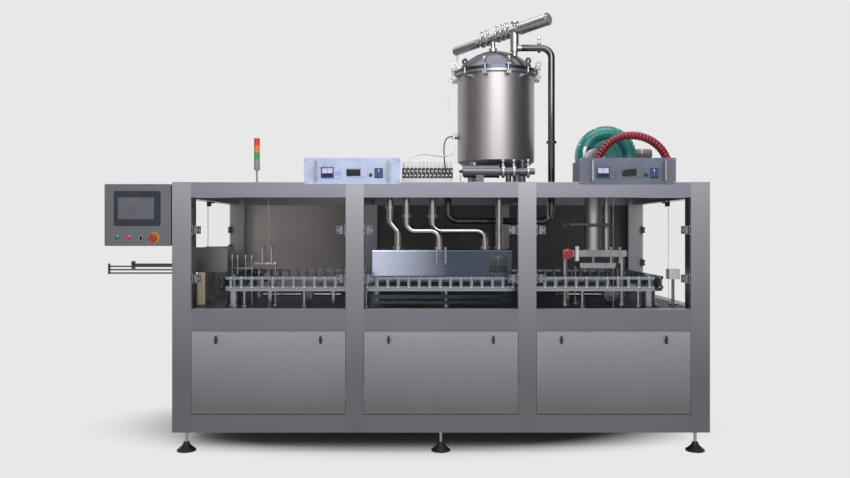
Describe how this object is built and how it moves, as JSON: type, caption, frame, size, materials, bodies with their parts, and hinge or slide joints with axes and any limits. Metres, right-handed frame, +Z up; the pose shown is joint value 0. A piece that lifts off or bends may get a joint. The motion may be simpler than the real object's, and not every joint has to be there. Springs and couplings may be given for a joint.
{
  "type": "aseptic carton filling machine",
  "caption": "Floor-standing carton filling machine: glazed bays over cupboards, holder chain, filling hood, roof-mounted product tank, blower and generators.",
  "frame": {"origin": "centre of the footprint at floor level", "axes": "+X along the line to the operator's right, +Y away from the operator, +Z up"},
  "size_m": [3.122, 1.3824, 2.2892],
  "materials": {
    "stainless_frame": "brushed stainless tube, satin",
    "stainless_deck": "satin stainless plate",
    "stainless_sheet": "brushed stainless sheet",
    "stainless_hood": "bright brushed stainless sheet",
    "polished_fitting": "polished stainless",
    "polished_pipe": "polished sanitary tube",
    "tank_steel": "polished stainless shell",
    "chain_steel": "pressed stainless holder",
    "clear_acrylic": "clear polished acrylic sheet",
    "panel_steel": "brushed stainless door",
    "black_latch": "moulded black nylon",
    "black_foot": "black moulded pad on a bright stud",
    "dark_bezel": "dark blue moulded bezel round a grey screen",
    "tower_plastic": "moulded plastic with tinted lenses",
    "generator_case": "coated aluminium front and case",
    "black_valve": "black moulded valve bodies on a pale base",
    "white_tube": "translucent white tube",
    "black_cable": "black sheath",
    "blower_enamel": "teal green enamel on cast aluminium",
    "red_hose": "ribbed red hose",
    "motor_grey": "grey enamel",
    "green_button": "moulded green",
    "red_button": "moulded red",
    "black_button": "moulded black",
    "navy_rocker": "moulded navy blue"
  },
  "bodies": {
    "machine": {"actuator_air_tube": "white_tube", "blower_hose": "red_hose", "carton_magazine": "stainless_deck", "chain_rails": "polished_fitting", "control_box": "stainless_sheet", "control_fascia": "dark_bezel", "filling_hood": "stainless_hood", "fixed_skins": "stainless_sheet", "gear_motor": "motor_grey", "generators": "generator_case", "hinge_mounts": "polished_fitting", "holder_chain": "chain_steel", "infeed_infill": "stainless_sheet", "infeed_rails": "polished_fitting", "levelling_feet": "black_foot", "lid_valves": "polished_pipe", "main_frame": "stainless_frame", "outlet_valve": "polished_pipe", "process_pipes": "polished_pipe", "ring_blower": "blower_enamel", "roof_sheet": "stainless_frame", "sealing_station": "polished_pipe", "sensor_cable": "black_cable", "signal_tower": "tower_plastic", "supply_pipe": "polished_pipe", "swing_bolts": "polished_fitting", "tank_lid": "tank_steel", "tank_shell": "tank_steel", "valve_manifold": "black_valve", "work_deck": "stainless_deck"},
    "front_door_1": {"front_door_1": "clear_acrylic"},
    "front_door_2": {"front_door_2": "clear_acrylic"},
    "front_door_3": {"front_door_3": "clear_acrylic"},
    "front_door_4": {"front_door_4": "clear_acrylic"},
    "front_door_5": {"front_door_5": "clear_acrylic"},
    "front_door_6": {"front_door_6": "clear_acrylic"},
    "right_end_front_door": {"right_end_front_door": "clear_acrylic"},
    "right_end_rear_door": {"right_end_rear_door": "clear_acrylic"},
    "left_end_front_door": {"left_end_front_door": "clear_acrylic"},
    "left_end_rear_door": {"left_end_rear_door": "clear_acrylic"},
    "left_cupboard_panel": {"left_cupboard_panel": "panel_steel"},
    "left_cupboard_left_latch": {"left_cupboard_left_latch": "black_latch"},
    "left_cupboard_right_latch": {"left_cupboard_right_latch": "black_latch"},
    "middle_cupboard_panel": {"middle_cupboard_panel": "panel_steel"},
    "middle_cupboard_left_latch": {"middle_cupboard_left_latch": "black_latch"},
    "middle_cupboard_right_latch": {"middle_cupboard_right_latch": "black_latch"},
    "right_cupboard_panel": {"right_cupboard_panel": "panel_steel"},
    "right_cupboard_left_latch": {"right_cupboard_left_latch": "black_latch"},
    "right_cupboard_right_latch": {"right_cupboard_right_latch": "black_latch"},
    "start_button": {"start_button": "green_button"},
    "stop_button": {"stop_button": "red_button"},
    "selector_switch": {"selector_switch": "black_button"},
    "emergency_stop": {"emergency_stop": "red_button"},
    "left_generator_switch": {"left_generator_switch": "navy_rocker"},
    "right_generator_switch": {"right_generator_switch": "navy_rocker"},
    "drive_wheel": {"drive_wheel": "polished_fitting"},
    "front_right_wheel": {"front_right_wheel": "polished_fitting"},
    "front_left_wheel": {"front_left_wheel": "polished_fitting"},
    "rear_left_wheel": {"rear_left_wheel": "polished_fitting"},
    "sealing_jaw": {"sealing_jaw": "polished_fitting"}
  },
  "joints": [
    {"name": "front_door_1_hinge", "type": "hinge", "parent": "machine", "child": "front_door_1", "pos_m": [-1.029, -0.643, 0.998], "axis": [0, 0, -1], "range_deg": [0, 90]},
    {"name": "front_door_2_hinge", "type": "hinge", "parent": "machine", "child": "front_door_2", "pos_m": [-0.26767, -0.643, 0.998], "axis": [0, 0, 1], "range_deg": [0, 90]},
    {"name": "front_door_3_hinge", "type": "hinge", "parent": "machine", "child": "front_door_3", "pos_m": [-0.16567, -0.643, 0.998], "axis": [0, 0, -1], "range_deg": [0, 90]},
    {"name": "front_door_4_hinge", "type": "hinge", "parent": "machine", "child": "front_door_4", "pos_m": [0.59567, -0.643, 0.998], "axis": [0, 0, 1], "range_deg": [0, 90]},
    {"name": "front_door_5_hinge", "type": "hinge", "parent": "machine", "child": "front_door_5", "pos_m": [0.69767, -0.643, 0.998], "axis": [0, 0, -1], "range_deg": [0, 90]},
    {"name": "front_door_6_hinge", "type": "hinge", "parent": "machine", "child": "front_door_6", "pos_m": [1.459, -0.643, 0.998], "axis": [0, 0, 1], "range_deg": [0, 90]},
    {"name": "right_end_front_door_hinge", "type": "hinge", "parent": "machine", "child": "right_end_front_door", "pos_m": [1.553, -0.549, 1], "axis": [0, 0, -1], "range_deg": [0, 90]},
    {"name": "right_end_rear_door_hinge", "type": "hinge", "parent": "machine", "child": "right_end_rear_door", "pos_m": [1.553, 0.589, 1], "axis": [0, 0, 1], "range_deg": [0, 90]},
    {"name": "left_end_front_door_hinge", "type": "hinge", "parent": "machine", "child": "left_end_front_door", "pos_m": [-1.123, -0.549, 1], "axis": [0, 0, 1], "range_deg": [0, 90]},
    {"name": "left_end_rear_door_hinge", "type": "hinge", "parent": "machine", "child": "left_end_rear_door", "pos_m": [-1.123, 0.589, 1], "axis": [0, 0, -1], "range_deg": [0, 90]},
    {"name": "left_cupboard_panel_hinge", "type": "hinge", "parent": "machine", "child": "left_cupboard_panel", "pos_m": [-0.64833, -0.644, 0.202], "axis": [1, 0, 0], "range_deg": [0, 90]},
    {"name": "left_cupboard_left_latch_turn", "type": "hinge", "parent": "left_cupboard_panel", "child": "left_cupboard_left_latch", "pos_m": [-0.91, -0.65, 0.565], "axis": [0, -1, 0], "range_deg": [0, 90]},
    {"name": "left_cupboard_right_latch_turn", "type": "hinge", "parent": "left_cupboard_panel", "child": "left_cupboard_right_latch", "pos_m": [-0.38667, -0.65, 0.565], "axis": [0, -1, 0], "range_deg": [0, 90]},
    {"name": "middle_cupboard_panel_hinge", "type": "hinge", "parent": "machine", "child": "middle_cupboard_panel", "pos_m": [0.215, -0.644, 0.202], "axis": [1, 0, 0], "range_deg": [0, 90]},
    {"name": "middle_cupboard_left_latch_turn", "type": "hinge", "parent": "middle_cupboard_panel", "child": "middle_cupboard_left_latch", "pos_m": [-0.04667, -0.65, 0.565], "axis": [0, -1, 0], "range_deg": [0, 90]},
    {"name": "middle_cupboard_right_latch_turn", "type": "hinge", "parent": "middle_cupboard_panel", "child": "middle_cupboard_right_latch", "pos_m": [0.47667, -0.65, 0.565], "axis": [0, -1, 0], "range_deg": [0, 90]},
    {"name": "right_cupboard_panel_hinge", "type": "hinge", "parent": "machine", "child": "right_cupboard_panel", "pos_m": [1.07833, -0.644, 0.202], "axis": [1, 0, 0], "range_deg": [0, 90]},
    {"name": "right_cupboard_left_latch_turn", "type": "hinge", "parent": "right_cupboard_panel", "child": "right_cupboard_left_latch", "pos_m": [0.81667, -0.65, 0.565], "axis": [0, -1, 0], "range_deg": [0, 90]},
    {"name": "right_cupboard_right_latch_turn", "type": "hinge", "parent": "right_cupboard_panel", "child": "right_cupboard_right_latch", "pos_m": [1.34, -0.65, 0.565], "axis": [0, -1, 0], "range_deg": [0, 90]},
    {"name": "start_button_press", "type": "slide", "parent": "machine", "child": "start_button", "axis": [0, 1, 0], "range_m": [0, 0.004], "stiffness_N_per_m": 400},
    {"name": "stop_button_press", "type": "slide", "parent": "machine", "child": "stop_button", "axis": [0, 1, 0], "range_m": [0, 0.004], "stiffness_N_per_m": 400},
    {"name": "selector_turn", "type": "hinge", "parent": "machine", "child": "selector_switch", "pos_m": [-1.289, -0.65, 1.075], "axis": [0, -1, 0], "range_deg": [-45, 45]},
    {"name": "emergency_stop_press", "type": "slide", "parent": "machine", "child": "emergency_stop", "axis": [0, 1, 0], "range_m": [0, 0.006]},
    {"name": "left_generator_switch_rock", "type": "hinge", "parent": "machine", "child": "left_generator_switch", "pos_m": [-0.0965, -0.6473, 1.3995], "axis": [1, 0, 0], "range_deg": [0, 19]},
    {"name": "right_generator_switch_rock", "type": "hinge", "parent": "machine", "child": "right_generator_switch", "pos_m": [1.2805, -0.6473, 1.3995], "axis": [1, 0, 0], "range_deg": [0, 19]},
    {"name": "drive_wheel_spin", "type": "hinge", "parent": "machine", "child": "drive_wheel", "pos_m": [1.308, 0.225, 0.84], "axis": [0, 0, 1], "continuous": true},
    {"name": "front_right_wheel_spin", "type": "hinge", "parent": "machine", "child": "front_right_wheel", "pos_m": [1.308, -0.44, 0.84], "axis": [0, 0, 1], "continuous": true},
    {"name": "front_left_wheel_spin", "type": "hinge", "parent": "machine", "child": "front_left_wheel", "pos_m": [-0.868, -0.44, 0.84], "axis": [0, 0, 1], "continuous": true},
    {"name": "rear_left_wheel_spin", "type": "hinge", "parent": "machine", "child": "rear_left_wheel", "pos_m": [-0.868, 0.225, 0.84], "axis": [0, 0, 1], "continuous": true},
    {"name": "sealing_jaw_slide", "type": "slide", "parent": "machine", "child": "sealing_jaw", "axis": [0, 0, -1], "range_m": [0, 0.04]}
  ],
  "couplings": [
    {"joint": "front_right_wheel_spin", "follows": "drive_wheel_spin", "ratio": 1},
    {"joint": "front_left_wheel_spin", "follows": "drive_wheel_spin", "ratio": 1},
    {"joint": "rear_left_wheel_spin", "follows": "drive_wheel_spin", "ratio": 1}
  ]
}
